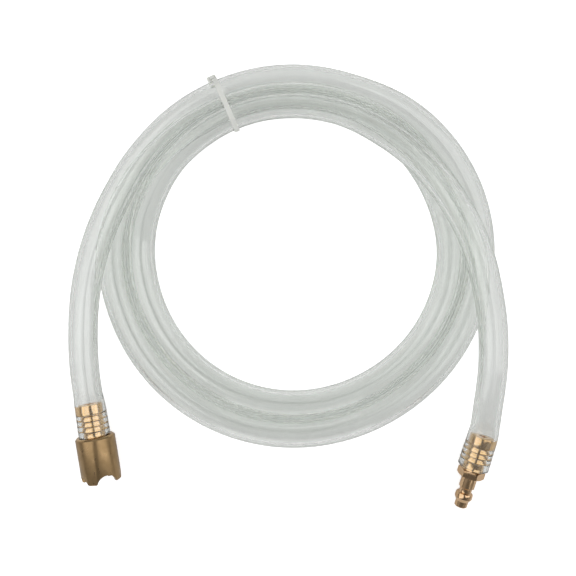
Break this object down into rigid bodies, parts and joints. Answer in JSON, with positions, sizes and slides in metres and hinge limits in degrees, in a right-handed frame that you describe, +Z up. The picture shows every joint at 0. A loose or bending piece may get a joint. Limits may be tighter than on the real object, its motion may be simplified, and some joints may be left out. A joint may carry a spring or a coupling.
{
  "type": "oil transfer hose assembly",
  "caption": "Coiled clear hose for a gear oil pump, with a notched brass suction foot on one end and a barbed quick-coupler plug on the other, tied in a flat coil.",
  "frame": {"origin": "on the floor under the middle of the part's box; the middle of the coil is 2.3 mm towards +X and 17.7 mm towards +Y of it", "axes": "+Z up, normal to the coil as it lies flat; both leads run towards -Y, the suction foot on the -X side and the plug on the +X side"},
  "size_m": [0.215, 0.2192, 0.0299],
  "materials": {
    "clear_pvc": "clear, faintly green where it is thick, glossy",
    "satin_brass": "dull turned brass",
    "bright_brass": "bright turned brass",
    "natural_nylon": "translucent off-white moulded nylon"
  },
  "bodies": {
    "coil": {"hose_coil": "clear_pvc", "cable_tie": "natural_nylon"},
    "foot_lead": {"hose_foot_lead": "clear_pvc", "suction_foot": "satin_brass"},
    "plug_lead": {"hose_plug_lead": "clear_pvc", "plug_fitting": "bright_brass"}
  },
  "joints": [
    {"name": "foot_lead_swing", "type": "hinge", "parent": "coil", "child": "foot_lead", "pos_m": [-0.10031, -0.01965, 0.01549], "axis": [0, 0, 1], "range_deg": [-30, 20], "stiffness_Nm_per_rad": 0.2},
    {"name": "plug_lead_swing", "type": "hinge", "parent": "coil", "child": "plug_lead", "pos_m": [0.10012, -0.02182, 0.01999], "axis": [0, 0, 1], "range_deg": [-20, 30], "stiffness_Nm_per_rad": 0.2}
  ]
}
